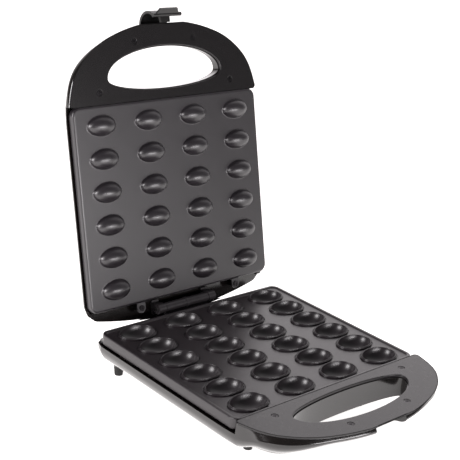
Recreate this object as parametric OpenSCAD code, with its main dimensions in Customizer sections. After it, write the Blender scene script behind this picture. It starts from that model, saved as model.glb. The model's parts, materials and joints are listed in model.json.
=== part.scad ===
// Nut-shaped-cookie maker: a hinged two-plate kitchen appliance, lid standing open.
// The drawing is made round the centre of the moulds: X across, Y to the hinge,
// Z up from the closing plane. place() then stands it on the table, and in_lid()
// swings a closed-position shape to where the open lid holds it.

/* [Moulds and plates] */
// Columns of moulds, side to side
mould_cols = 4; // [2:1:5]
// Rows of moulds, front to back
mould_rows = 6; // [3:1:7]
// Distance between columns
pitch_x = 58; // [50:1:62]
// Distance between rows
pitch_y = 33; // [30:0.5:35]
// Length of one cup's mouth
cup_len = 39; // [34:0.2:40]
// Width of one cup's mouth
cup_w = 27.2; // [22:0.2:28]
// Height of a bowl's centre line above the cup's lip
cup_lift = 1.8; // [0:0.1:3]
// Length of one dome
dome_len = 32.6; // [26:0.2:34]
// Width of one dome
dome_w = 19.8; // [16:0.2:21]
// Width of the raised lip round a cup
lip_w = 1.4; // [1:0.1:2]
// Width of both plates
plate_w = 237; // [220:1:250]
// Depth of both plates
plate_d = 205; // [190:1:206]
// Height of the lower plate's side wall
lower_skirt_h = 10.8; // [8:0.2:12]
// Height of the upper plate's side wall
upper_skirt_h = 7.2; // [6:0.2:9]
// Thickness of the cast plates
plate_t = 2.4; // [2:0.1:3]

/* [Housings] */
// Width of the housings beside the plates
body_w = 240; // [238:1:260]
// Distance from the mould centre to the middle of the bowed rear edge
rear_reach = 125.5; // [122:0.5:130]
// Radius of the bowed rear edge
rear_bow_r = 465; // [400:5:600]
// Depth of the base housing, from the closing plane
base_depth = 40; // [34:1:44]
// Depth of the lid housing, from the closing plane
lid_depth = 29; // [27:1:36]
// Radius round the housings' outer edge
edge_r = 13; // [8:0.5:16]
// Wall thickness of the housings
wall = 2.4; // [2:0.1:3]
// Height of the closing plane above the table
close_h = 56; // [52:1:60]

/* [Handle] */
// Distance from the mould centre to the tip of the handle
handle_reach = 178; // [170:1:190]
// Radius of the handle's front arc
arch_r = 185; // [160:1:220]
// Radius of the handle's flanks
flank_r = 91; // [80:1:100]
// Half width of the finger opening
grip_half_w = 72; // [60:1:80]
// Distance from the mould centre to the widest line of the finger opening
grip_y = 127; // [124:1:132]
// Depth of the base housing at the tip of the handle
base_tip = 15.5; // [13:0.5:18]
// Depth of the lid housing at the tip of the handle
lid_tip = 8; // [7:0.5:12]
// Thickness of the flat trim on both handle halves
bezel_t = 3; // [2:0.2:4]

/* [Hinge, latch and feet] */
// Distance from the mould centre to the hinge axis
hinge_y = 113.8; // [112:0.1:116]
// How far the lid is open, in degrees
open_deg = 103.4; // [90:0.1:104]
// Radius of the hinge pin
hinge_pin_r = 2; // [1.5:0.1:2.5]
// How far the latch hangs outward from its hooked position, in degrees
latch_deg = 18; // [15:1:25]
// Width of the latch
latch_w = 34; // [30:1:38]
// Height of the visible rubber feet
foot_h = 10; // [8:1:14]

/* [Hidden] */
$fn = 48;

// Moves the drawing so that the open appliance stands centred on the origin
shift_y = -10.29;
gap = 0.5;                       // between cup lips and the lid plate when closed
lip_z = -gap;                    // top of the cup lips
rim_z = -1.2;                    // top of the lower plate's outer bead
deck_z = -2.6;                   // flat surface between the cups
lower_edge_z = rim_z - lower_skirt_h;
lower_deck_z = -15.2;            // deck behind the lower plate, and its rear wall
upper_deck_z = 11;               // deck behind the upper plate
corner_r = 9;                    // plate corners
blend = 22;                      // half angle of the handle's front arc
end_a = 15;                      // angle at which the handle's flanks stop
arch_cy = arch_r - handle_reach;
flank_cx = (arch_r - flank_r) * sin(blend);
flank_cy = arch_cy - (arch_r - flank_r) * cos(blend);
shoulder_y = -plate_d / 2 - 0.9; // rear edge of the handle trim
bezel_z = 0.5;                   // trim face, from the closing plane
latch_y = 171;                   // latch pivot, in front of the mould centre
latch_z = 9;                     // latch pivot, above the closing plane
arm_y = 176;                     // centre of the latch arm's curve
arm_z = 3;
arm_r = 15;                      // its outer radius
arm_t = 2.6;
lip_a = 44;                      // where on that curve the finger lip starts
barrel_r = 3.2;
tooth_w = 12;
base_flank = 24;                 // depth of the handle's flanks, base and lid
lid_flank = 11;
base_bulge = 1.5;                // how far the housings' flanks swell past the trim
lid_bulge = 0.2;
lid_relief = 13;
relief_slope = 2.5;
notch_half = 20;                 // half width of the latch notch
screw_xy = [[84.6, 114.8], [37.6, 161.7]];
tab_x = [-57, 72];               // tabs behind the upper plate
tab_y = plate_d / 2 + 5.7;
lamp_x = 14;                     // lamps on the outside of the lid
lamp_y = 20;
inlet = [60, 100, -25];          // where the cord's way through the rear wall begins
foot_xy = [[-75, -76], [75, -76], [-91, 104], [91, 104]];
knuckle_r = 5;
ear_x = 33.5;
ear_w = 9;
knuckle_half = 28.4;
fit = 0.05;                      // radial clearance of a pin that turns

module place() translate([0, shift_y, close_h]) children();
module in_lid()
    place() translate([0, hinge_y, 0]) rotate([-open_deg, 0, 0])
        translate([0, -hinge_y, 0]) children();
// Turns a shape drawn in the hooked position to where the latch hangs in the open lid
module unhooked()
    translate([0, -latch_y, latch_z]) rotate([-latch_deg, 0, 0])
        translate([0, latch_y, -latch_z]) children();
module flip() mirror([0, 0, 1]) children();
module x_rod(r, l) rotate([0, 90, 0]) cylinder(r = r, h = l, center = true);

// Every mould centre
module at_moulds()
    for (c = [0 : mould_cols - 1], r = [0 : mould_rows - 1])
        translate([(c - (mould_cols - 1) / 2) * pitch_x, (r - (mould_rows - 1) / 2) * pitch_y, 0])
            children();

// Egg outline, blunt towards +X: half width at fraction u of the half length
function egg_r(u, w) = w / 2 * sqrt(max(0, 1 - u * u)) * (1 + 0.1 * u);
function egg_side(l, w, n, s) =
    [for (i = [0 : n]) let (u = -cos(180 * i / n)) [u * l / 2, s * egg_r(u, w)]];
// A body of revolution lying along X
module egg_solid(l, w, n)
    rotate([90, 0, 90])
        rotate_extrude()
            polygon([for (p = egg_side(l, w, n, 1)) [p[1], p[0]]]);
module egg_plate(l, w, h, n = 14)
    linear_extrude(h)
        polygon(concat(egg_side(l, w, n, 1), [for (i = [n - 1 : -1 : 1]) egg_side(l, w, n, -1)[i]]));

module rounded(w, d, r, h)
    linear_extrude(h) {
        square([w - 2 * r, d], center = true);
        square([w, d - 2 * r], center = true);
        for (x = [-1, 1], y = [-1, 1])
            translate([x * (w / 2 - r), y * (d / 2 - r)]) circle(r);
    }

// Handle outline: a wide front arc blending into two tighter flanks, offset outward by o
function arc(cx, cy, r, a0, a1, n) =
    [for (i = [0 : n]) let (a = a0 + (a1 - a0) * i / n) [cx + r * cos(a), cy + r * sin(a)]];
function arch(o) = concat(
    arc(flank_cx, flank_cy, flank_r + o, -end_a, -90 + blend, 9),
    arc(0, arch_cy, arch_r + o, -90 + blend, -90 - blend, 9),
    arc(-flank_cx, flank_cy, flank_r + o, -90 - blend, -180 + end_a, 9));
// Housing outline behind the handle: straight sides, cut corners and a bowed rear edge
function bow_y(x, o) = rear_reach + o - rear_bow_r + sqrt(pow(rear_bow_r, 2) - x * x);
function rear(o) = concat(
    [[-body_w / 2 - o, shoulder_y], [-body_w / 2 - o, 98], [-117 - o, 104 + o * 0.5]],
    [for (i = [-5 : 5]) [i * 21.6 + sign(i) * o * 0.6, bow_y(i * 21.6, o)]],
    [[117 + o, 104 + o * 0.5], [body_w / 2 + o, 98], [body_w / 2 + o, shoulder_y]]);
// The handle's widest part, where its flanks deepen towards the body
function handle_band(o) = [for (p = arch(o)) if (p[1] > -136) p];
// Finger opening: two half ellipses, flatter towards the plate
function grip(o) = [for (i = [0 : 47]) let (a = i * 7.5)
    [(grip_half_w + o) * cos(a), -grip_y + ((a < 180 ? 14 : 28) + o) * sin(a)]];

module slice(pts, z) translate([0, 0, z - 0.01]) linear_extrude(0.01) polygon(pts);

// Solid housing form, opening side up; t is taken off all round. tip is the depth at the
// handle's tip, flank the depth where its sides leave the body, depth the deepest point and
// bulge how far the sides swell past the trim. relief is the depth at which a thinner handle
// steps off the body, or 0 for none.
module housing_form(t, top, tip, flank, depth, bulge, relief)
    difference() {
        housing_hull(t, top, tip, flank, depth, bulge);
        if (relief > 0)
            translate([-150, shoulder_y + t, t - relief]) rotate([-relief_slope, 0, 0])
                translate([0, -100, -60]) cube([300, 100, 60]);
    }
module housing_hull(t, top, tip, flank, depth, bulge)
    hull() {
        slice(concat(rear(-t), arch(-t)), top);
        slice(concat(rear(0.5 - t), arch(bulge - t)), -bezel_z - bezel_t - 2.4);
        slice(concat(rear(0.65 - t), arch(bulge - 2.4 - t)), -bezel_z - bezel_t - tip * 0.37);
        slice(arch(-3.8 - t), -tip * 0.87 + t);
        slice(arch(-8.5 - t), -tip + t);
        slice(handle_band(-2 - t), -flank * 0.72 + t);
        slice(handle_band(-12 - t), -flank + t);
        slice(rear(0.8 - t), -depth + edge_r + 9);
        slice(rear(-edge_r * 0.24 - t), -depth + 9 + edge_r * 0.34 + t);
        slice(rear(-edge_r - t), -depth + 9 + t);
        slice(rear(-edge_r - 34 - t), -depth + t);
    }

// One housing in the base's position; the lid's is its mirror image. Its rim lies at
// side_top beside the plate, and a deck closes it behind the plate.
module shell_half(side_top, deck_top, tip, flank, depth, bulge, relief)
    difference() {
        union() {
            difference() {
                housing_form(0, -bezel_z - bezel_t, tip, flank, depth, bulge, relief);
                difference() {
                    housing_form(wall, 5, tip, flank, depth, bulge, relief);
                    translate([0, 0, -60]) linear_extrude(60) polygon(grip(wall));
                    translate([-150, plate_d / 2 + 1.5, deck_top - wall]) cube([300, 60, wall]);
                    // walls round the latch notch
                    translate([-notch_half - 4, -200, -60]) cube([2 * notch_half + 8, 38, 60]);
                }
            }
            intersection() {
                for (p = screw_xy, s = [-1, 1])
                    translate([s * p[0], -p[1], -30]) cylinder(r = 3.6, h = 30 - bezel_z - bezel_t);
                housing_form(wall / 2, -bezel_z - bezel_t, tip, flank, depth, bulge, relief);
            }
        }
        translate([-150, shoulder_y, side_top]) cube([300, 300, 60]);
        translate([-150, plate_d / 2 + 4, deck_top]) cube([300, 16, 60]);
        translate([0, 0, -60]) linear_extrude(80) polygon(grip(0));
        for (p = screw_xy, s = [-1, 1])
            translate([s * p[0], -p[1], -10.5]) cylinder(r = 1.5, h = 20);
    }

module trim()
    difference() {
        translate([0, 0, -bezel_z - bezel_t])
            linear_extrude(bezel_t)
                difference() {
                    polygon(concat(arch(0), [[-body_w / 2 - 1.2, shoulder_y], [body_w / 2 + 1.2, shoulder_y]]));
                    polygon(grip(0));
                    translate([-notch_half, -handle_reach - 10]) square([2 * notch_half, 12.4]);
                }
        for (p = screw_xy, s = [-1, 1])
            translate([s * p[0], -p[1], -10]) {
                cylinder(r = 1.7, h = 20);
                translate([0, 0, 10 - bezel_z - 1.6]) cylinder(r = 3.4, h = 5);
            }
    }

// Countersunk-look pan screw standing on z = 0, shank downward
module screw(r, head_r, head_h, l) {
    difference() {
        cylinder(r = head_r, h = head_h);
        for (a = [0, 90])
            rotate([0, 0, a]) translate([-head_r * 0.6, -0.3, head_h - 0.5])
                cube([head_r * 1.2, 0.6, 1]);
    }
    translate([0, 0, -l]) cylinder(r = r, h = l);
}
module trim_screws()
    for (p = screw_xy, s = [-1, 1])
        translate([s * p[0], -p[1], -bezel_z - 1.6]) screw(1.45, 3, 1.2, 8);

// ---- base ----
module base_shell()
    color("#1b1a1b") place()
        difference() {
            union() {
                shell_half(lower_edge_z - 1.6, lower_deck_z,
                    base_tip, base_flank, base_depth, base_bulge, 0);
                // collar round the cord inlet, and the bosses the feet are screwed to
                translate(inlet) rotate([-90, 0, 0]) translate([0, 0, 6]) cylinder(r = 7.4, h = 16.6);
                for (p = foot_xy) translate([p[0], p[1], foot_h - close_h])
                    cylinder(r = 5.4, h = p[1] > 0 ? 17 : 12);
            }
            // room for the latch hook below the trim
            translate([-notch_half, -handle_reach - 10, -40])
                cube([2 * notch_half, 24, 36.6]);
            // the rear wall stands lower, for the lid's rear wall swings down to it
            translate([-150, plate_d / 2 + 4, lower_deck_z]) cube([300, 60, 10]);
            translate(inlet) rotate([-90, 0, 0]) cylinder(r = 4.7, h = 40);
            for (s = [-1, 1]) translate([s * 20, hinge_y - 2, -30]) cylinder(r = 1.5, h = 20);
            for (p = foot_xy) translate([p[0], p[1], -60]) cylinder(r = 1.5, h = 20);
        }
module base_bezel() color("#5e5b5e") place() trim();
module base_bezel_screws() color("#2a2a2a") place() trim_screws();

module lower_plate()
    color("#47444a") place()
        difference() {
            union() {
                difference() {
                    translate([0, 0, lower_edge_z]) rounded(plate_w, plate_d, corner_r, lower_skirt_h);
                    translate([0, 0, deck_z])
                        rounded(plate_w - 6, plate_d - 6, corner_r - 3, 10);
                    translate([0, 0, lower_edge_z - 1])
                        rounded(plate_w - 5, plate_d - 5, corner_r - 2.5,
                            deck_z - plate_t - lower_edge_z + 1);
                }
                at_moulds() {
                    translate([0, 0, deck_z - 0.5])
                        egg_plate(cup_len + 2 * lip_w, cup_w + 2 * lip_w, lip_z - deck_z + 0.5);
                    intersection() {
                        translate([0, 0, lip_z + cup_lift])
                            egg_solid(cup_len + 2 * plate_t, cup_w + 2 * plate_t, 6);
                        translate([-25, -20, -30]) cube([50, 40, 30 + deck_z - 0.2]);
                    }
                }
            }
            at_moulds() translate([0, 0, lip_z + cup_lift]) egg_solid(cup_len, cup_w, 8);
        }

module upper_plate()
    color("#625d62") in_lid()
        difference() {
            union() {
                difference() {
                    rounded(plate_w, plate_d, corner_r, upper_skirt_h);
                    translate([0, 0, plate_t]) rounded(plate_w - 5, plate_d - 5, corner_r - 2.5, 20);
                }
                at_moulds() intersection() {
                    egg_solid(dome_len, dome_w, 8);
                    translate([-25, -20, -20]) cube([50, 40, 20.5]);
                }
            }
            at_moulds() egg_solid(dome_len - 2 * plate_t, dome_w - 2 * plate_t, 6);
        }

// Sheet clips that pull the lower plate down on its element
module lower_plate_clips()
    color("#b9b9b4") place()
        for (x = [-1, 1], y = [-1, 1])
            translate([x * 107, y * 60, lower_edge_z - 10.8]) {
                translate([-5, -6, 0]) cube([10, 12, 1.2]);
                translate([x * 4 - 0.6, -6, 0]) cube([1.2, 12, 10.6]);
            }

// Tubular element: two long runs, joined by bends, ending in two terminals at the rear
module element(z) {
    r = 3.2;
    bend = 26;
    run = 140;
    translate([0, 0, z]) {
        for (x = [-bend * 3, -bend, bend, bend * 3])
            translate([x, 0, 0]) rotate([90, 0, 0]) cylinder(r = r, h = run, center = true);
        for (s = [-1, 1])
            translate([s * bend * 2, -run / 2, 0]) rotate([0, 0, 180])
                rotate_extrude(angle = 180) translate([bend, 0]) circle(r);
        translate([0, run / 2, 0]) rotate_extrude(angle = 180) translate([bend, 0]) circle(r);
        for (x = [-bend * 3, bend * 3])
            translate([x, run / 2 + 6, 0]) rotate([90, 0, 0]) cylinder(r = 1.2, h = 16, center = true);
    }
}
module lower_heating_element() color("#7d7a76") place() element(-17.8);
module upper_heating_element() color("#7d7a76") in_lid() element(7.4);

module tray(z, up)
    translate([0, 0, z]) difference() {
        rounded(214, 182, 12, 3.4);
        translate([0, 0, up ? 0.6 : -0.6]) rounded(212.8, 180.8, 11.4, 3.4);
        for (x = [-1, 1], y = [-1, 1])
            translate([x * 95, y * 78, -5]) cylinder(r = 2.1, h = 12);
    }
module lower_reflector() color("#b8b8b6") place() tray(-26.4, true);
module upper_reflector() color("#b8b8b6") in_lid() tray(10.9, false);

module thermostat()
    color("#d9cfb8") place() translate([0, 0, -26.9]) flip() {
        cylinder(r = 9, h = 6);
        for (s = [-1, 1]) translate([s * 5 - 1.5, -0.4, 6]) cube([3, 0.8, 3]);
    }
module thermal_fuse()
    color("#e8e4dc") place() translate([34, 20, -28.6]) x_rod(1.6, 22);
module terminal_block()
    color("#e9e6da") place() translate([60, 78, -35.4]) difference() {
        translate([-14, -6, 0]) cube([28, 12, 8]);
        for (x = [-9, 0, 9]) translate([x, 0, 3]) cylinder(r = 1.6, h = 10);
    }

// The base's long knuckle, its web and its foot plate inside the housing
module base_hinge_knuckle()
    color("#2b292b") place()
        difference() {
            union() {
                translate([0, hinge_y, 0]) x_rod(knuckle_r, 2 * knuckle_half);
                translate([0, hinge_y, 0]) x_rod(knuckle_r + 0.6, 3.4);
                translate([-knuckle_half, hinge_y - 4, lower_deck_z])
                    cube([2 * knuckle_half, 5, -lower_deck_z]);
                translate([-knuckle_half, hinge_y - 7, lower_deck_z])
                    cube([2 * knuckle_half, 12, 2.6]);
            }
            translate([0, hinge_y, 0]) x_rod(hinge_pin_r, 100);
            for (s = [-1, 1])
                translate([s * 20, hinge_y - 2, -20]) cylinder(r = 1.4, h = 12);
        }
module base_hinge_screws()
    color("#9a9a98") place()
        for (s = [-1, 1])
            translate([s * 20, hinge_y - 2, -17.9]) flip() screw(1.4, 2.8, 1.6, 9);
module hinge_pin()
    color("#b9b9b6") place() translate([0, hinge_y, 0]) x_rod(hinge_pin_r, 2 * (ear_x + ear_w / 2) + 2);

module cord_gland()
    color("#1d1d1d") place() translate(inlet) rotate([-90, 0, 0])
        difference() {
            union() {
                translate([0, 0, 3]) cylinder(r = 4.6, h = 22.8);
                translate([0, 0, 22.6]) cylinder(r = 6.6, h = 3.2);
            }
            cylinder(r = 3.3, h = 40);
        }

module foot(x, y)
    color("#262425") place() translate([x, y, -close_h]) {
        difference() {
            cylinder(r1 = 4.2, r2 = 5.4, h = foot_h);
            translate([0, 0, -1]) cylinder(r = 3, h = 5);
            translate([0, 0, -1]) cylinder(r = 1.5, h = 40);
        }
    }
module foot_front_left() foot(foot_xy[0][0], foot_xy[0][1]);
module foot_front_right() foot(foot_xy[1][0], foot_xy[1][1]);
module foot_rear_left() foot(foot_xy[2][0], foot_xy[2][1]);
module foot_rear_right() foot(foot_xy[3][0], foot_xy[3][1]);
module foot_screws()
    color("#9a9a98") place()
        for (p = foot_xy)
            translate([p[0], p[1], -close_h + 4]) flip() screw(1.45, 2.8, 1.4, foot_h + 1);

// ---- lid ----
module lid_shell()
    color("#1b1a1b") in_lid()
        difference() {
            union() {
                flip() shell_half(-upper_skirt_h - 1.6, -upper_deck_z,
                    lid_tip, lid_flank, lid_depth, lid_bulge, lid_relief);
                // posts under the plate's tabs
                for (x = tab_x) translate([x, tab_y, 2]) cylinder(r = 3.2, h = upper_deck_z - 1);
            }
            // slot for the latch arm, with its pin's seats
            translate([-notch_half, -handle_reach - 10, 3.2]) cube([2 * notch_half, 21, 30]);
            translate([0, -latch_y, latch_z]) x_rod(1.5, 2 * notch_half + 6);
            for (x = tab_x) translate([x, tab_y, 0]) cylinder(r = 1.5, h = 10);
            for (s = [-1, 1]) translate([s * ear_x, hinge_y - 4, 10]) cylinder(r = 1.5, h = 10);
            for (x = [-lamp_x, lamp_x]) translate([x, lamp_y, lid_depth - 9]) cylinder(r = 3.9, h = 20);
        }
module lid_bezel() color("#242224") in_lid() flip() trim();
module lid_bezel_screws() color("#2a2a2a") in_lid() flip() trim_screws();

module plate_tab(x)
    color("#6a676b") in_lid()
        difference() {
            union() {
                translate([x - 5.2, plate_d / 2 + 0.1, 0.6]) cube([10.4, 5.6, 1.4]);
                translate([x, tab_y, 0.6]) cylinder(r = 5.2, h = 1.4);
            }
            translate([x, tab_y, 0]) cylinder(r = 1.7, h = 4);
        }
module plate_tab_left() plate_tab(tab_x[0]);
module plate_tab_right() plate_tab(tab_x[1]);
module plate_tab_screws()
    color("#8a8a88") in_lid()
        for (x = tab_x)
            translate([x, tab_y, 0.6]) flip() screw(1.5, 3, 1.3, 9);

module lid_hinge_ear(x)
    color("#2b292b") in_lid()
        difference() {
            union() {
                translate([x, hinge_y, 0]) x_rod(knuckle_r + 0.4, ear_w);
                translate([x - ear_w / 2, hinge_y - 5.4, 0]) cube([ear_w, 8.4, upper_deck_z]);
                translate([x - ear_w / 2, hinge_y - 8, upper_deck_z - 2.4]) cube([ear_w, 14, 2.4]);
            }
            translate([x, hinge_y, 0]) x_rod(hinge_pin_r + fit, ear_w + 2);
            translate([x, hinge_y - 4, 6.2]) cylinder(r = 1.4, h = 10);
        }
module lid_hinge_ear_left() lid_hinge_ear(-ear_x);
module lid_hinge_ear_right() lid_hinge_ear(ear_x);
module lid_hinge_screws()
    color("#9a9a98") in_lid()
        for (s = [-1, 1])
            translate([s * ear_x, hinge_y - 4, upper_deck_z + wall]) screw(1.4, 2.8, 1.6, 6.8);

module lens(x) in_lid() translate([x, lamp_y, lid_depth]) {
    translate([0, 0, -3.4]) cylinder(r = 3.8, h = 3.8);
    translate([0, 0, -wall - 2]) cylinder(r = 5, h = 1.8);
}
module power_lamp_lens() color("#b01c18") lens(-lamp_x);
module ready_lamp_lens() color("#1f8a3a") lens(lamp_x);
module bulb(x) in_lid() translate([x, lamp_y, 14.3]) {
    cylinder(r = 2.4, h = 7);
    translate([0, 0, 7]) sphere(r = 2.4);
}
module power_lamp_bulb() color("#e8e0d0") bulb(-lamp_x);
module ready_lamp_bulb() color("#e8e0d0") bulb(lamp_x);

// ---- latch ----
module latch_pin()
    color("#b9b9b6") in_lid() translate([0, -latch_y, latch_z]) x_rod(1.5, 2 * notch_half + 6);

// The arm is drawn hanging free; its tooth is drawn where it hooks under the base's trim
function on_arm(r, a) = [-arm_y - r * cos(a), arm_z + r * sin(a)];
module latch_clip()
    color("#2f2d2f") in_lid()
        difference() {
            union() {
                translate([0, -latch_y, latch_z]) x_rod(barrel_r, latch_w);
                rotate([90, 0, 90]) linear_extrude(latch_w, center = true) {
                    polygon(concat(
                        [for (a = [-lip_a : 12 : 88]) on_arm(arm_r, a)],
                        [[-latch_y + barrel_r - 0.6, latch_z + 3.4], [-latch_y + barrel_r, latch_z],
                         [-latch_y - 1, latch_z], [-latch_y - 1, latch_z + 4.6]],
                        [for (a = [78 : -12 : -lip_a]) on_arm(arm_r - arm_t, a)]));
                }
                // finger lip and the bar it springs from
                translate([0, on_arm(arm_r, -lip_a)[0] + 0.6, on_arm(arm_r, -lip_a)[1]]) {
                    x_rod(2, latch_w + 1.4);
                    rotate([33, 0, 0]) translate([0, 0, -0.9]) linear_extrude(1.8)
                        polygon([[-15, 0], [-11, -7.4], [11, -7.4], [15, 0]]);
                }
                unhooked() rotate([90, 0, 90]) linear_extrude(tooth_w, center = true)
                    polygon([[-183, -8.4], [-174.8, -6.4], [-174.4, -5.4], [-174.6, -4.4], [-183, -4.4]]);
            }
            translate([0, -latch_y, latch_z]) x_rod(1.5 + fit, latch_w + 2);
        }

base_shell();
base_bezel();
base_bezel_screws();
lower_plate();
lower_plate_clips();
lower_heating_element();
lower_reflector();
thermostat();
thermal_fuse();
terminal_block();
base_hinge_knuckle();
base_hinge_screws();
hinge_pin();
cord_gland();
foot_front_left();
foot_front_right();
foot_rear_left();
foot_rear_right();
foot_screws();
lid_shell();
lid_bezel();
lid_bezel_screws();
upper_plate();
upper_heating_element();
upper_reflector();
plate_tab_left();
plate_tab_right();
plate_tab_screws();
lid_hinge_ear_left();
lid_hinge_ear_right();
lid_hinge_screws();
power_lamp_lens();
ready_lamp_lens();
power_lamp_bulb();
ready_lamp_bulb();
latch_pin();
latch_clip();
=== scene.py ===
import bmesh
import bpy
import json
import math
from mathutils import Matrix, Vector
from mathutils.geometry import tessellate_polygon


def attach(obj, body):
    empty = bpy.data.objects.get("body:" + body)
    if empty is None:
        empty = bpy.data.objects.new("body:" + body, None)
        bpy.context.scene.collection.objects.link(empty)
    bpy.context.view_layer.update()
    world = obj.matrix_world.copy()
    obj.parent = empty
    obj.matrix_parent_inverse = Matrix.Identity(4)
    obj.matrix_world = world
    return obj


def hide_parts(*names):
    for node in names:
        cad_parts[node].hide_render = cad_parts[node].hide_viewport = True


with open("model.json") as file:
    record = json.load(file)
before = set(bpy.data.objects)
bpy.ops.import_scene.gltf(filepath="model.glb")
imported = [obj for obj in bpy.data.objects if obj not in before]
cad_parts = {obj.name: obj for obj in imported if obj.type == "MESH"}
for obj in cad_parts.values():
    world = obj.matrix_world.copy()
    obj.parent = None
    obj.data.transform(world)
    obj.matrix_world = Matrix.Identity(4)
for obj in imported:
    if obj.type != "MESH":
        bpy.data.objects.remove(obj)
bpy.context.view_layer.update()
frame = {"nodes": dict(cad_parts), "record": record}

# ---- where things are ---------------------------------------------------------------
# Shapes are drawn in millimetres round the centre of the moulds: X across, Y to the
# hinge, Z up from the closing plane. BASE and LID carry them to the frame, in metres.
joints = {j["name"]: j for j in frame["record"]["behaviour"]["joints"]}
hinge_y = 113.8
hinge = Vector(joints["lid_hinge"]["pos_m"]) * 1000
open_angle = math.radians(joints["lid_hinge"]["range_deg"][1])
MM = Matrix.Scale(0.001, 4)
BASE = MM @ Matrix.Translation((0, hinge.y - hinge_y, hinge.z))
LID = (BASE @ Matrix.Translation((0, hinge_y, 0)) @ Matrix.Rotation(-open_angle, 4, "X")
       @ Matrix.Translation((0, -hinge_y, 0)))
FLIP = Matrix.Scale(-1, 4, (0, 0, 1))

# moulds
pitch_x, pitch_y, cols, rows = 58.0, 33.0, 4, 6
cup_len, cup_w, cup_lift, dome_len, dome_w = 39.0, 27.2, 1.8, 32.6, 19.8
# cast plates, with heights from the closing plane
plate_w, plate_d, corner_r = 237.0, 205.0, 9.0
lip_z, rim_z, deck_z, lower_edge_z = -0.5, -1.2, -2.6, -12.0
upper_skirt_h, plate_t = 7.2, 2.4
# housings: the body, its bowed rear, and the handle's arch with its two flanks
body_w, rear_reach, rear_bow_r = 240.0, 125.5, 465.0
handle_reach, arch_r, flank_r = 178.0, 185.0, 91.0
blend, end_a = 22.0, 15.0
shoulder_y = -plate_d / 2 - 0.9
arch_cy = arch_r - handle_reach
flank_cx = (arch_r - flank_r) * math.sin(math.radians(blend))
flank_cy = arch_cy - (arch_r - flank_r) * math.cos(math.radians(blend))
flank_pull, flank_pull_y = 4.3, (-142, -103)
wall = 2.4
# finger opening
grip_half_w, grip_y, grip_rear_r, grip_front_r = 72.0, 127.0, 14.0, 28.0
# handle trims, with the catch's notch and the screws
bezel_z, bezel_t, notch_half = 0.5, 3.0, 20.0
screw_xy = [(84.6, 114.8), (37.6, 161.7)]
screw_points = [(s * x, -y) for x, y in screw_xy for s in (-1, 1)]
screw_recess_r = 3.35
trim_shoulder = 118.7
# feet, and the middle line that a housing's edge profiles are pushed out from
feet_xy = [(-75, -76), (75, -76), (-91, 104), (91, 104)]
core_x, core_front, core_rear = 64, -92, 58
# where the body's edge profile turns into the flank's, along Y, and the flank's into
# the tip's, across X; near the top the first turn takes longer
flank_start, flank_full, flank_longer, flank_longer_z = -101, -126, 12, (-14, -8)
tip_start_y, tip_band = -120, (106, 58)

# ---- camera -------------------------------------------------------------------------
az, el, roll = (math.radians(a) for a in (-42.807, 19.976, 5.013))
right = Vector((math.cos(az), math.sin(az), 0))
back = Vector((math.sin(az) * math.cos(el), -math.cos(az) * math.cos(el), math.sin(el)))
up = back.cross(right)
cam_x = right * math.cos(roll) + up * math.sin(roll)
cam_y = -right * math.sin(roll) + up * math.cos(roll)
eye = BASE @ Vector((-702.8, -704.3, 477.0))
camera = bpy.data.objects.new("camera", bpy.data.cameras.new("camera"))
camera.data.sensor_width = 36
camera.data.lens = 86.69
camera.data.clip_end = 50
camera.matrix_world = Matrix((
    (cam_x.x, cam_y.x, back.x, eye.x), (cam_x.y, cam_y.y, back.y, eye.y),
    (cam_x.z, cam_y.z, back.z, eye.z), (0, 0, 0, 1)))
bpy.context.collection.objects.link(camera)
bpy.context.scene.camera = camera


# ---- materials ----------------------------------------------------------------------
def srgb(v):
    v /= 255
    return v / 12.92 if v <= 0.04045 else ((v + 0.055) / 1.055) ** 2.4


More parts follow.
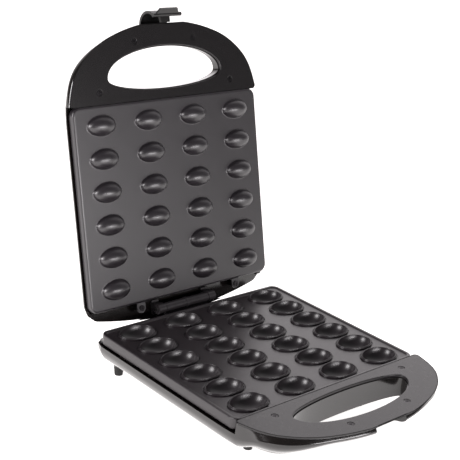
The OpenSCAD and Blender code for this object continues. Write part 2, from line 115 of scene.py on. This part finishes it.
def material(name, colour, rough, mottle=0.12, mottle_scale=40, rough_var=0.06,
             grain=0.0, grain_scale=1500, wave=0.0, wave_scale=25, coat=0.0, coat_rough=0.1,
             metal=0.0, ior=1.5):
    """Mottled colour and roughness, fine grain and slow surface waviness."""
    m = bpy.data.materials.new(name)
    m.use_nodes = True
    nt = m.node_tree
    bsdf = nt.nodes["Principled BSDF"]
    coord = nt.nodes.new("ShaderNodeTexCoord")

    def noise(scale, detail, rough_n=0.5):
        n = nt.nodes.new("ShaderNodeTexNoise")
        n.inputs["Scale"].default_value = scale
        n.inputs["Detail"].default_value = detail
        n.inputs["Roughness"].default_value = rough_n
        nt.links.new(coord.outputs["Object"], n.inputs["Vector"])
        return n

    base = [srgb(c) for c in colour]
    big = noise(mottle_scale, 4, 0.6)
    ramp = nt.nodes.new("ShaderNodeValToRGB")
    ramp.color_ramp.elements[0].position = 0.3
    ramp.color_ramp.elements[1].position = 0.7
    ramp.color_ramp.elements[0].color = [c * (1 - mottle) for c in base] + [1]
    ramp.color_ramp.elements[1].color = [min(1, c * (1 + mottle)) for c in base] + [1]
    nt.links.new(big.outputs["Fac"], ramp.inputs["Fac"])
    nt.links.new(ramp.outputs["Color"], bsdf.inputs["Base Color"])
    rn = noise(mottle_scale * 6, 3, 0.65)
    rr = nt.nodes.new("ShaderNodeMapRange")
    rr.inputs["From Min"].default_value = 0.3
    rr.inputs["From Max"].default_value = 0.7
    rr.inputs["To Min"].default_value = max(0.02, rough - rough_var)
    rr.inputs["To Max"].default_value = min(1, rough + rough_var)
    nt.links.new(rn.outputs["Fac"], rr.inputs["Value"])
    nt.links.new(rr.outputs["Result"], bsdf.inputs["Roughness"])
    last = None
    for strength, scale, depth in ((grain, grain_scale, 0.00012), (wave, wave_scale, 0.002)):
        if strength:
            b = nt.nodes.new("ShaderNodeBump")
            b.inputs["Strength"].default_value = strength
            b.inputs["Distance"].default_value = depth
            nt.links.new(noise(scale, 2, 0.6).outputs["Fac"], b.inputs["Height"])
            if last:
                nt.links.new(last.outputs["Normal"], b.inputs["Normal"])
            last = b
    if last:
        nt.links.new(last.outputs["Normal"], bsdf.inputs["Normal"])
    bsdf.inputs["Metallic"].default_value = metal
    bsdf.inputs["IOR"].default_value = ior
    bsdf.inputs["Coat Weight"].default_value = coat
    bsdf.inputs["Coat Roughness"].default_value = coat_rough
    return m


gloss_black = material("gloss_black", (17, 13, 12), 0.16, mottle=0.1, mottle_scale=25,
                       rough_var=0.02, wave=0.01, wave_scale=30, coat=0.7, coat_rough=0.14)
trim_low = material("base_trim_satin", (38, 36, 37), 0.3, mottle=0.05, grain=0.08,
                    grain_scale=2600, rough_var=0.04)
trim_up = material("lid_trim_gloss", (26, 24, 25), 0.24, mottle=0.04, mottle_scale=12,
                   rough_var=0.006)
plate_low = material("lower_plate_coating", (34, 29, 32), 0.34, mottle=0.06, mottle_scale=60,
                     rough_var=0.03, grain=0.06, grain_scale=1800, ior=1.65)
plate_up = material("upper_plate_coating", (34, 30, 34), 0.36, mottle=0.03, mottle_scale=30,
                    rough_var=0.02, grain=0.03, grain_scale=1800, ior=1.75)
black_satin = material("black_satin", (46, 43, 45), 0.36, grain=0.15, grain_scale=2200)
latch_grey = material("latch_satin", (28, 27, 27), 0.34, mottle=0.06, grain=0.1, grain_scale=2400)
rubber = material("foot_rubber", (26, 25, 25), 0.7, mottle=0.15, grain=0.35, grain_scale=1500)
dark_screw = material("dark_screw", (60, 58, 60), 0.25, metal=0.9, grain=0.08)
zinc = material("zinc_steel", (150, 150, 148), 0.3, metal=1.0, mottle=0.12, mottle_scale=200,
                grain=0.2, grain_scale=3000)
sheath = material("element_sheath", (110, 104, 98), 0.5, metal=0.9, mottle=0.25, mottle_scale=90,
                  grain=0.3, grain_scale=1200)
bright_sheet = material("reflector_sheet", (190, 190, 188), 0.25, metal=1.0, mottle=0.06,
                        mottle_scale=30, grain=0.15, grain_scale=900)
ceramic = material("glazed_ceramic", (214, 204, 182), 0.3, mottle=0.05, grain=0.1, coat=0.4)
red_lens = material("red_lens", (150, 20, 16), 0.2, mottle=0.15, coat=0.6)
green_lens = material("green_lens", (24, 120, 56), 0.2, mottle=0.15, coat=0.6)
clear = material("lamp_glass", (205, 198, 180), 0.08, mottle=0.05, coat=1.0)


# ---- mesh tools ---------------------------------------------------------------------
def new_piece(name, verts, faces, where, mat, body, replaces):
    mesh = bpy.data.meshes.new(name)
    mesh.from_pydata([where @ Vector(v) for v in verts], [], faces)
    finish_piece(name, mesh, mat, body, replaces)


def finish_piece(name, mesh, mat, body, replaces, sharp=38):
    """Cleans and shades a mesh, and makes it the piece that stands for some CAD nodes."""
    bm = bmesh.new()
    bm.from_mesh(mesh)
    bmesh.ops.remove_doubles(bm, verts=bm.verts, dist=2e-6)
    bmesh.ops.dissolve_degenerate(bm, edges=bm.edges, dist=1e-6)
    bmesh.ops.recalc_face_normals(bm, faces=bm.faces)
    bm.to_mesh(mesh)
    bm.free()
    mesh.shade_smooth()
    mesh.set_sharp_from_angle(angle=math.radians(sharp))
    mesh.materials.clear()
    mesh.materials.append(mat)
    ob = bpy.data.objects.new(name, mesh)
    bpy.context.collection.objects.link(ob)
    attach(ob, body)
    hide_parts(*replaces)


class Builder:
    """Vertices and faces, gathered ring by ring."""

    def __init__(self):
        self.v, self.f = [], []

    def ring(self, loop):
        start = len(self.v)
        self.v.extend(Vector(p) for p in loop)
        return list(range(start, len(self.v)))

    def bridge(self, a, b):
        n = len(a)
        for i in range(n):
            j = (i + 1) % n
            self.f.append((a[i], a[j], b[j], b[i]))

    def fan(self, ring, point):
        c = len(self.v)
        self.v.append(Vector(point))
        for i in range(len(ring)):
            self.f.append((ring[i], ring[(i + 1) % len(ring)], c))

    def cap(self, *rings):
        """Flat face between an outer ring and any holes."""
        ids = [i for r in rings for i in r]
        for tri in tessellate_polygon([[self.v[i] for i in r] for r in rings]):
            self.f.append(tuple(ids[k] for k in tri))

    def sweep(self, loop, profile):
        """Rings round a loop: profile lists (offset to the right of travel, height)."""
        normals = loop_normals(loop)
        out = []
        for o, z in profile:
            r = self.ring([(p[0] + n[0] * o, p[1] + n[1] * o, z)
                           for p, n in zip(loop, normals)])
            if out:
                self.bridge(out[-1], r)
            out.append(r)
        return out


def loop_normals(loop):
    """Mitred normals of a closed loop, to the right of travel (outward if anticlockwise)."""
    out = []
    n = len(loop)
    for i in range(n):
        a, b, c = Vector(loop[i - 1][:2]), Vector(loop[i][:2]), Vector(loop[(i + 1) % n][:2])
        d1, d2 = (b - a).normalized(), (c - b).normalized()
        n1, n2 = Vector((d1.y, -d1.x)), Vector((d2.y, -d2.x))
        m = (n1 + n2).normalized()
        m /= max(0.5, m.dot(n1))
        out.append((m.x, m.y))
    return out


def arc(cx, cy, r, a0, a1, n):
    return [(cx + r * math.cos(math.radians(a0 + (a1 - a0) * i / n)),
             cy + r * math.sin(math.radians(a0 + (a1 - a0) * i / n))) for i in range(n + 1)]


def rrect(w, d, r, n=10):
    out = []
    for cx, cy, a in ((1, -1, -90), (1, 1, 0), (-1, 1, 90), (-1, -1, 180)):
        out += arc(cx * (w / 2 - r), cy * (d / 2 - r), r, a, a + 90, n)
    return out


def fillet(points, radii, n=5):
    """Rounds chosen corners of a closed polygon; radius 0 leaves a point as it is."""
    out = []
    for i, (p, r) in enumerate(zip(points, radii)):
        if not r:
            out.append(tuple(p))
            continue
        p, a, b = Vector(p), Vector(points[i - 1]), Vector(points[(i + 1) % len(points)])
        u, v = (a - p).normalized(), (b - p).normalized()
        half = u.angle(v) / 2
        reach = r / math.tan(half)
        centre = p + (u + v).normalized() * (r / math.sin(half))
        s, e = p + u * reach, p + v * reach
        a0 = math.atan2(s.y - centre.y, s.x - centre.x)
        a1 = math.atan2(e.y - centre.y, e.x - centre.x)
        turn = (a1 - a0 + math.pi) % (2 * math.pi) - math.pi
        for k in range(n + 1):
            angle = a0 + turn * k / n
            out.append((centre.x + r * math.cos(angle), centre.y + r * math.sin(angle)))
    return out


def solid_mesh(b, where):
    mesh = bpy.data.meshes.new("part")
    mesh.from_pydata([where @ Vector(v) for v in b.v], [], b.f)
    bm = bmesh.new()
    bm.from_mesh(mesh)
    bmesh.ops.remove_doubles(bm, verts=bm.verts, dist=1e-6)
    bmesh.ops.recalc_face_normals(bm, faces=bm.faces)
    bm.to_mesh(mesh)
    bm.free()
    return mesh


def prism(loop, z0, z1):
    b = Builder()
    low, high = b.ring([(x, y, z0) for x, y in loop]), b.ring([(x, y, z1) for x, y in loop])
    b.bridge(low, high)
    b.cap(low)
    b.cap(high)
    return b


def block(x0, x1, y0, y1, z0, z1):
    return prism([(x0, y0), (x1, y0), (x1, y1), (x0, y1)], z0, z1)


def combine(mesh, cutters, op="DIFFERENCE"):
    """Boolean of a mesh with others, all in the same place; returns a new mesh."""
    ob = bpy.data.objects.new("work", mesh)
    bpy.context.collection.objects.link(ob)
    tools = []
    for k, c in enumerate(cutters):
        t = bpy.data.objects.new("tool", c)
        bpy.context.collection.objects.link(t)
        tools.append(t)
        m = ob.modifiers.new("cut%d" % k, "BOOLEAN")
        m.operation = op
        m.solver = "MANIFOLD"
        m.object = t
    bpy.context.view_layer.update()
    out = bpy.data.meshes.new_from_object(ob.evaluated_get(bpy.context.evaluated_depsgraph_get()))
    for o in [ob] + tools:
        bpy.data.objects.remove(o)
    return out


# ---- outlines -----------------------------------------------------------------------
def smooth(a, b, v):
    """0 at a, 1 at b, with an easy start and end."""
    t = min(1, max(0, (v - a) / (b - a)))
    return t * t * (3 - 2 * t)


def arch(n=26):
    """The handle's outline; its flanks straighten towards the shoulders."""
    loop = (arc(flank_cx, flank_cy, flank_r, -end_a, -90 + blend, n)
            + arc(0, arch_cy, arch_r, -90 + blend, -90 - blend, n)[1:]
            + arc(-flank_cx, flank_cy, flank_r, -90 - blend, -180 + end_a, n)[1:])
    return [(x - math.copysign(flank_pull * smooth(*flank_pull_y, y), x), y) for x, y in loop]


def bow_y(x):
    """How far back the bowed rear reaches at x."""
    return rear_reach - rear_bow_r + math.sqrt(rear_bow_r ** 2 - x * x)


def grip(n=96):
    """The finger opening's outline: two half ellipses."""
    return [(grip_half_w * math.cos(2 * math.pi * i / n),
             -grip_y + (grip_rear_r if i * 2 < n else grip_front_r) * math.sin(2 * math.pi * i / n))
            for i in range(n)]


def egg_radius(width, u):
    return width / 2 * math.sqrt(max(0, 1 - u * u)) * (1 + 0.1 * u)


mould_points = [((c - (cols - 1) / 2) * pitch_x, (r - (rows - 1) / 2) * pitch_y)
                for c in range(cols) for r in range(rows)]


def mould(b, cx, cy, length, width, axis_z, mouth_z, lips, n=72):
    """Lip rings (offset, z) from outside in, then an egg-shaped bowl (or dome) whose
    centre line lies at axis_z and whose mouth lies at mouth_z."""
    start = abs(axis_z - mouth_z)

    def depth(x, y):
        r = egg_radius(width, 2 * x / length)
        return math.sqrt(max(0, r * r - y * y))

    mouth = []
    for i in range(n):
        t = 2 * math.pi * i / n
        x, y = length / 2 * math.cos(t), width / 2 * math.sin(t) * (1 + 0.1 * math.cos(t))
        low, high = 0.5, 1.0
        for _ in range(24):
            mid = (low + high) / 2
            low, high = (mid, high) if depth(x * mid, y * mid) > start else (low, mid)
        mouth.append((x * low, y * low))
    normals = loop_normals(mouth)
    rings = []
    for o, z in lips:
        r = b.ring([(cx + x + q[0] * o, cy + y + q[1] * o, z)
                    for (x, y), q in zip(mouth, normals)])
        if rings:
            b.bridge(rings[-1], r)
        rings.append(r)
    last = rings[-1]
    for k in (0.995, 0.984, 0.966, 0.94, 0.9, 0.85, 0.78, 0.69, 0.58, 0.45, 0.31, 0.16):
        r = b.ring([(cx + x * k, cy + y * k, axis_z - depth(x * k, y * k)) for x, y in mouth])
        b.bridge(last, r)
        last = r
    b.fan(last, (cx, cy, axis_z - depth(0, 0)))
    return rings[0]


# ---- plates -------------------------------------------------------------------------
cell_x = [-plate_w, -pitch_x, 0, pitch_x, plate_w]
cell_y = [-plate_d, -2 * pitch_y, -pitch_y, 0, pitch_y, 2 * pitch_y, plate_d]


def plate_edge():
    """The plates' outline, with a point at every cell border on its straight sides."""
    loop = rrect(plate_w, plate_d, corner_r, 12)
    out = []
    for i, p in enumerate(loop):
        q = loop[(i + 1) % len(loop)]
        out.append(p)
        if math.dist(p, q) > 50:
            k = 0 if abs(p[0] - q[0]) > 1 else 1
            stops = (cell_x if k == 0 else cell_y)[1:-1]
            for v in sorted(stops, reverse=p[k] > q[k]):
                out.append((v, p[1]) if k == 0 else (p[0], v))
    return out


def clip(poly, axis, limit, keep_low):
    """The part of a polygon on one side of a line across the axis."""
    out = []
    for i, p in enumerate(poly):
        q = poly[(i + 1) % len(poly)]
        inside = (p[axis] <= limit + 1e-6) if keep_low else (p[axis] >= limit - 1e-6)
        inside_q = (q[axis] <= limit + 1e-6) if keep_low else (q[axis] >= limit - 1e-6)
        if inside:
            out.append(p)
        if inside != inside_q:
            t = (limit - p[axis]) / (q[axis] - p[axis])
            out.append(tuple(p[k] + (q[k] - p[k]) * t for k in (0, 1)))
    return out


def cell_caps(b, outer, mouths):
    """Flat deck between the plate's inner loop and the mould mouths, cell by cell."""
    z = b.v[outer[0]].z
    poly = [(b.v[i].x, b.v[i].y) for i in outer]
    for (cx, cy), mouth in zip(mould_points, mouths):
        part = poly
        for axis, stops, c in ((0, cell_x, cx), (1, cell_y, cy)):
            low = max(v for v in stops if v < c)
            high = min(v for v in stops if v > c)
            part = clip(clip(part, axis, high, True), axis, low, False)
        part = [p for i, p in enumerate(part) if math.dist(p, part[i - 1]) > 1e-4]
        b.cap(b.ring([(x, y, z) for x, y in part]), mouth)


b = Builder()
edge = plate_edge()
top = b.sweep(edge, [(-5.6, deck_z), (-4.9, deck_z), (-4.4, deck_z + 0.08), (-4.0, deck_z + 0.4),
                     (-3.7, deck_z + 0.95), (-3.3, rim_z - 0.1), (-2.8, rim_z), (-1.5, rim_z),
                     (-0.9, rim_z - 0.1), (-0.45, rim_z - 0.36), (-0.18, rim_z - 0.8),
                     (-0.05, rim_z - 1.5), (0, lower_edge_z + 0.7), (-0.15, lower_edge_z + 0.22),
                     (-0.6, lower_edge_z), (-2.1, lower_edge_z), (-2.45, lower_edge_z + 0.35),
                     (-2.5, deck_z - plate_t - 0.5), (-3.0, deck_z - plate_t),
                     (-4, deck_z - plate_t)])
holes, under = [], []
for x, y in mould_points:
    holes.append(mould(b, x, y, cup_len, cup_w, lip_z + cup_lift, lip_z - 0.6,
                       [(3.2, deck_z), (2.8, deck_z), (2.6, deck_z - 0.06), (2.5, deck_z - 0.3),
                        (2.3, deck_z - 0.6), (1.9, deck_z - 0.6), (1.75, deck_z - 0.2),
                        (1.85, lip_z - 1.15), (1.86, lip_z - 0.85), (1.76, lip_z - 0.62),
                        (1.58, lip_z - 0.5), (1.4, lip_z - 0.52), (1.26, lip_z - 0.68),
                        (1.16, lip_z - 0.95), (1.0, lip_z - 1.05), (0.84, lip_z - 0.95),
                        (0.76, lip_z - 0.4), (0.68, lip_z - 0.16), (0.54, lip_z - 0.03),
                        (0.4, lip_z), (0.22, lip_z - 0.06), (0.08, lip_z - 0.22),
                        (0.02, lip_z - 0.42)]))
    under.append(mould(b, x, y, cup_len + 2 * plate_t, cup_w + 2 * plate_t, lip_z + cup_lift,
                       deck_z - plate_t, [(0.5, deck_z - plate_t), (0, deck_z - plate_t)], 48))
cell_caps(b, top[0], holes)
cell_caps(b, top[-1], under)
new_piece("lower_plate_cast", b.v, b.f, BASE, plate_low, "base",
          ["lower_plate"])

b = Builder()
h = upper_skirt_h
top = b.sweep(edge, [(-3.4, 0), (-2.6, 0), (-1.9, 0.05), (-1.25, 0.22), (-0.7, 0.55), (-0.3, 1.05),
                     (-0.08, 1.7), (0, 2.5), (0, h - 0.6), (-0.15, h - 0.18), (-0.6, h),
                     (-2.1, h), (-2.45, h - 0.35), (-2.5, plate_t + 0.5), (-3, plate_t),
                     (-4, plate_t)])
holes, under = [], []
for x, y in mould_points:
    holes.append(mould(b, x, y, dome_len, dome_w, 0, 0,
                       [(1.7, 0), (1.1, 0), (0.7, -0.03), (0.4, -0.12), (0.2, -0.3), (0.06, -0.6)]))
    under.append(mould(b, x, y, dome_len - 2 * plate_t, dome_w - 2 * plate_t, 0, 0,
                       [(0.5, plate_t), (0, plate_t)], 48))
cell_caps(b, top[0], holes)
cell_caps(b, top[-1], under)
new_piece("upper_plate_cast", b.v, b.f, LID, plate_up, "lid",
          ["upper_plate"])


# ---- handle trims -------------------------------------------------------------------
def trim_outline():
    """The trims' outline, clockwise, with the catch's shallow notch at the front."""
    pts = [p for p in arch() if p[1] < shoulder_y - 5]
    head = [p for p in pts if p[0] > notch_half + 0.8 or p[1] > -150 and p[0] > 0]
    tail = [(-x, y) for x, y in reversed(head)]
    front = -handle_reach + 1.95
    notch_y = -handle_reach + 2.4
    side = trim_shoulder
    rear = shoulder_y - 0.9
    head, tail = ([(x, max(y, front)) for x, y in part] for part in (head, tail))
    loop = [(side, rear)] + head
    loop += [(notch_half + 0.4, front), (notch_half - 1.4, notch_y)]
    loop += [(-notch_half + 1.4, notch_y), (-notch_half - 0.4, front)] + tail + [(-side, rear)]
    radii = [1.6] + [0] * len(head) + [1.0, 0.6, 0.6, 1.0] + [0] * len(tail) + [1.6]
    return fillet(loop, radii)


def make_trim(name, where, mat, body, node):
    b = Builder()
    z1, z0 = -bezel_z, -bezel_z - bezel_t
    edge_profile = [(-2.2, z1), (-1.4, z1), (-0.95, z1 - 0.03), (-0.5, z1 - 0.2), (-0.18, z1 - 0.5),
                    (0, z1 - 1.0), (0, z0 + 0.35), (-0.12, z0 + 0.1), (-0.4, z0)]
    outer = b.sweep(trim_outline(), edge_profile)
    hole_profile = [(-2.6, z1), (-1.9, z1), (-1.55, z1 - 0.04), (-1.25, z1 - 0.18),
                    (-1.06, z1 - 0.42), (-1, z1 - 0.8), (-1, z0 + 0.3), (-1.1, z0 + 0.08),
                    (-1.35, z0)]
    opening = b.sweep(grip()[::-1], hole_profile)
    tops, bottoms = [outer[0], opening[0]], [outer[-1], opening[-1]]
    for x, y in screw_points:
        ring = [(x + screw_recess_r * math.cos(-a * math.pi / 16),
                 y + screw_recess_r * math.sin(-a * math.pi / 16)) for a in range(32)]
        s = b.sweep(ring, [(-0.5, z1), (-0.22, z1), (-0.06, z1 - 0.07), (0, z1 - 0.25), (0, z0)])
        tops.append(s[0])
        bottoms.append(s[-1])
    b.cap(*tops)
    b.cap(*bottoms)
    new_piece(name, b.v, b.f, where, mat, body, [node])


make_trim("base_trim", BASE, trim_low, "base", "base_bezel")
make_trim("lid_trim", LID @ FLIP, trim_up, "lid", "lid_bezel")


# ---- housings -----------------------------------------------------------------------
def housing_outline():
    """Closed loop round a housing, with its long stretches divided."""
    side = [(trim_shoulder + 0.1, shoulder_y), (119.4, -97), (119.9, -88), (body_w / 2, -72)]
    rear = side + [(body_w / 2, 60), (body_w / 2, 95.5), (117.2, 104.4)]
    n = 24
    rear += [(108 - 216 * i / n, bow_y(108 - 216 * i / n)) for i in range(n + 1)]
    rear += [(-117.2, 104.4), (-body_w / 2, 95.5), (-body_w / 2, 60)]
    rear += [(-x, y) for x, y in reversed(side)]
    radii = [0] * 5 + [9, 7, 10] + [0] * (n - 1) + [10, 7, 9] + [0] * 5
    rear = fillet(rear, radii, 4)
    loop = rear + [p for p in arch(22)[::-1] if p[1] < shoulder_y - 4]
    out = []
    for i, p in enumerate(loop):
        q = loop[(i + 1) % len(loop)]
        d = math.dist(p, q)
        k = max(1, int(d / 6))
        out += [(p[0] + (q[0] - p[0]) * j / k, p[1] + (q[1] - p[1]) * j / k) for j in range(k)]
    out = [p for i, p in enumerate(out) if math.dist(p, out[i - 1]) > 0.3]
    return out


def curve(points, n):
    """Catmull-Rom samples along (offset, z) pairs."""
    out = []
    for i in range(len(points) - 1):
        p0, p1 = points[max(0, i - 1)], points[i]
        p2, p3 = points[i + 1], points[min(len(points) - 1, i + 2)]
        for k in range(n):
            t = k / n
            out.append(tuple(0.5 * (2 * b1 + (c - a) * t + (2 * a - 5 * b1 + 4 * c - d) * t * t
                                    + (3 * b1 - a - 3 * c + d) * t ** 3)
                             for a, b1, c, d in zip(p0, p1, p2, p3)))
    out.append(points[-1])
    return out


def housing(body, flank, tip, inset=0.0, top=None):
    """Loft of a housing: three edge profiles (body, handle flank, handle tip)."""
    b = Builder()
    loop = housing_outline()
    profiles = [curve(p, 3) for p in (body, flank, tip)]
    rings = []
    for k in range(len(profiles[0])):
        pts = []
        flank_end = flank_full - flank_longer * smooth(*flank_longer_z, profiles[1][k][1])
        for x, y in loop:
            cx = min(core_x, max(-core_x, x))
            cy = min(core_rear, max(core_front, y))
            d = Vector((x - cx, y - cy))
            length = d.length
            d.normalize()
            w1 = smooth(flank_start, flank_end, y)
            w2 = smooth(*tip_band, abs(x)) if y < tip_start_y else 0
            o = z = 0
            for (po, pz), w in zip((q[k] for q in profiles),
                                   ((1 - w1), w1 * (1 - w2), w1 * w2)):
                o += w * po
                z += w * pz
            o = max(o - inset, -length * 0.97)
            pts.append((cx + d.x * (length + o), cy + d.y * (length + o), z + inset))
        rings.append(b.ring(pts))
    if top is not None:
        for i in rings[0]:
            b.v[i].z = top
    for r0, r1 in zip(rings, rings[1:]):
        b.bridge(r0, r1)
    b.cap(rings[0])
    b.cap(rings[-1])
    return b


z0 = -bezel_z - bezel_t
base_profiles = (
    [(0.1, z0), (0.3, -5), (0.5, -7.5), (0.65, -10.5), (0.8, -13.8), (0.8, -17), (0.3, -20),
     (-1.6, -24.4), (-5, -28.2), (-11, -31.2), (-20, -34), (-38, -38), (-60, -40)],
    [(-1.5, z0), (-0.9, -4.6), (-0.05, -6.1), (0.8, -7.6), (1.5, -8.9), (1.85, -10.4), (1.6, -12.4),
     (0.6, -14.9), (-1.1, -17.5), (-3.8, -20.2), (-7.4, -22.9), (-12.4, -25.5), (-42, -28.2)],
    [(-1.2, z0), (-0.8, -4.1), (-0.3, -4.9), (0.15, -5.7), (0.5, -6.5), (0.4, -7.5), (-0.4, -8.8),
     (-1.8, -10.2), (-4.1, -11.6), (-7.4, -12.8), (-11.6, -13.8), (-17, -15), (-26, -17)])
lid_profiles = (
    [(0.1, z0), (0.6, z0 - 1), (0.8, -6), (0.7, -8.6), (0.0, -11), (-1.8, -14), (-5, -17),
     (-10, -19.6), (-18, -22.4), (-28, -25), (-40, -27.4), (-52, -28.6), (-60, -29)],
    [(0.1, z0), (0.7, z0 - 0.9), (1.2, -5.8), (1.4, -7.2), (1.35, -8.6), (1.0, -9.8), (0.2, -11),
     (-1.2, -12.1), (-3.2, -12.9), (-6, -13.4), (-12, -13.8), (-22, -14), (-34, -14.2)],
    [(0.0, z0), (0.15, z0 - 0.6), (0.2, -4.8), (0.0, -5.4), (-0.4, -6), (-1.2, -6.8), (-2.6, -7.5),
     (-4.6, -8), (-7, -8.3), (-10, -8.5), (-14, -8.8), (-20, -9.3), (-26, -9.8)])


def shell_mesh(profiles, side_top, deck_top, extra, where):
    """A housing, hollowed out except round the finger opening, rear deck and catch."""
    outer = solid_mesh(housing(*profiles), where)
    grip_wall = [(x * 1.034, -grip_y + (y + grip_y) * 1.1) for x, y in grip()]
    solid = [prism(grip_wall, -60, 8),
             block(-150, 150, plate_d / 2 + 1.5, 160, deck_top - wall, deck_top),
             block(-notch_half - 4, notch_half + 4, -200, -162, -60, 8)]
    cavity = combine(solid_mesh(housing(*profiles, inset=wall, top=5), where),
                     [solid_mesh(c, where) for c in solid])
    cuts = [block(-150, 150, shoulder_y, 200, side_top, 60),
            block(-150, 150, plate_d / 2 + 4, plate_d / 2 + 20, deck_top, 60),
            prism(grip(), -60, 20)] + extra
    return combine(outer, [cavity] + [solid_mesh(c, where) for c in cuts])


def cylinder(x, y, z, r, h, n=40):
    return prism(arc(x, y, r, 0, 360, n)[:-1], z, z + h)


notch = fillet([(-notch_half, -200), (notch_half, -200), (notch_half, -164), (-notch_half, -164)],
               [0, 0, 3, 3])
mesh = shell_mesh(base_profiles, lower_edge_z - 1.6, -15.2,
                  [prism(notch, -60, -3.4), block(-150, 150, plate_d / 2 + 4, 200, -15.2, 8)], BASE)
mesh = combine(mesh, [solid_mesh(cylinder(x, y, -46, 5.4, 17 if y > 0 else 12), BASE)
                      for x, y in feet_xy], "UNION")
finish_piece("base_housing", mesh, gloss_black, "base", ["base_shell"], 32)

lid_frame = LID @ FLIP
slot = prism(fillet([(-notch_half, -200), (notch_half, -200), (notch_half, -167),
                     (-notch_half, -167)], [0, 0, 2, 2]), -60, -3.2)
mesh = shell_mesh(lid_profiles, -upper_skirt_h - 1.6, -11,
                  [slot] + [cylinder(x, 20, -40, 3.9, 20) for x in (-14, 14)], lid_frame)
mesh = combine(mesh, [solid_mesh(cylinder(x, plate_d / 2 + 5.7, -12, 3.2, 10), lid_frame)
                      for x in (-57, 72)], "UNION")
finish_piece("lid_housing", mesh, gloss_black, "lid", ["lid_shell"], 32)

# ---- carried-over CAD nodes ---------------------------------------------------------
finishes = {
    "base_bezel_screws": dark_screw, "lid_bezel_screws": dark_screw, "lower_plate_clips": zinc,
    "lower_heating_element": sheath, "upper_heating_element": sheath,
    "lower_reflector": bright_sheet, "upper_reflector": bright_sheet, "thermostat": ceramic,
    "thermal_fuse": ceramic, "terminal_block": ceramic, "base_hinge_knuckle": black_satin,
    "lid_hinge_ear_left": black_satin, "lid_hinge_ear_right": black_satin,
    "base_hinge_screws": zinc, "lid_hinge_screws": zinc, "hinge_pin": zinc, "latch_pin": zinc,
    "foot_screws": zinc, "plate_tab_screws": dark_screw, "cord_gland": rubber,
    "foot_front_left": rubber, "foot_front_right": rubber, "foot_rear_left": rubber,
    "foot_rear_right": rubber, "plate_tab_left": plate_up, "plate_tab_right": plate_up,
    "power_lamp_lens": red_lens, "ready_lamp_lens": green_lens, "power_lamp_bulb": clear,
    "ready_lamp_bulb": clear, "latch_clip": latch_grey,
}
for node, mat in finishes.items():
    ob = frame["nodes"][node]
    ob.data.materials.clear()
    ob.data.materials.append(mat)

# ---- floor and light ----------------------------------------------------------------
floor = bpy.data.objects.new("floor", bpy.data.meshes.new("floor"))
floor.data.from_pydata([(-12, -12, 0), (12, -12, 0), (12, 12, 0), (-12, 12, 0)], [], [(0, 1, 2, 3)])
floor.data.materials.append(material("floor_white", (250, 249, 247), 0.8, mottle=0.004,
                                     mottle_scale=2, rough_var=0.02))
floor_skin = floor.data.materials[0].node_tree.nodes["Principled BSDF"]
floor_skin.inputs["Emission Color"].default_value = (1, 0.975, 0.965, 1)
floor_skin.inputs["Emission Strength"].default_value = 0.85
bpy.context.collection.objects.link(floor)


def softbox(name, at, size, power, aim):
    light = bpy.data.lights.new(name, "AREA")
    light.shape = "RECTANGLE"
    light.size, light.size_y = size
    light.energy = power
    light.color = (1, 0.965, 0.985)
    ob = bpy.data.objects.new(name, light)
    ob.location = at
    ob.rotation_euler = (Vector(aim) - Vector(at)).to_track_quat("-Z", "Y").to_euler()
    bpy.context.collection.objects.link(ob)


softbox("front", (0.15, -1.75, 0.35), (1.2, 0.3), 17, (0, 0.1, 0.15))
softbox("left", (-1.6, 0.12, 0.85), (0.9, 0.75), 28, (0, 0, 0.1))

world = bpy.data.worlds.new("studio")
bpy.context.scene.world = world
world.use_nodes = True
nt = world.node_tree
# the sky is dark, and brightens towards one side
sky_coord = nt.nodes.new("ShaderNodeTexCoord")
sky_side = nt.nodes.new("ShaderNodeVectorMath")
sky_side.operation = "DOT_PRODUCT"
sky_side.inputs[1].default_value = (0.62, 0.7, 0.34)
nt.links.new(sky_coord.outputs["Generated"], sky_side.inputs[0])
ramp = nt.nodes.new("ShaderNodeValToRGB")
ramp.color_ramp.elements[0].position = 0.35
ramp.color_ramp.elements[0].color = (0.1, 0.1, 0.1, 1)
ramp.color_ramp.elements[1].position = 1.0
ramp.color_ramp.elements[1].color = (1.7, 1.62, 1.65, 1)
nt.links.new(sky_side.outputs["Value"], ramp.inputs["Fac"])
nt.links.new(ramp.outputs["Color"], nt.nodes["Background"].inputs["Color"])
nt.nodes["Background"].inputs["Strength"].default_value = 1.0

bpy.context.scene.view_settings.view_transform = "Standard"
bpy.context.scene.view_settings.look = "None"
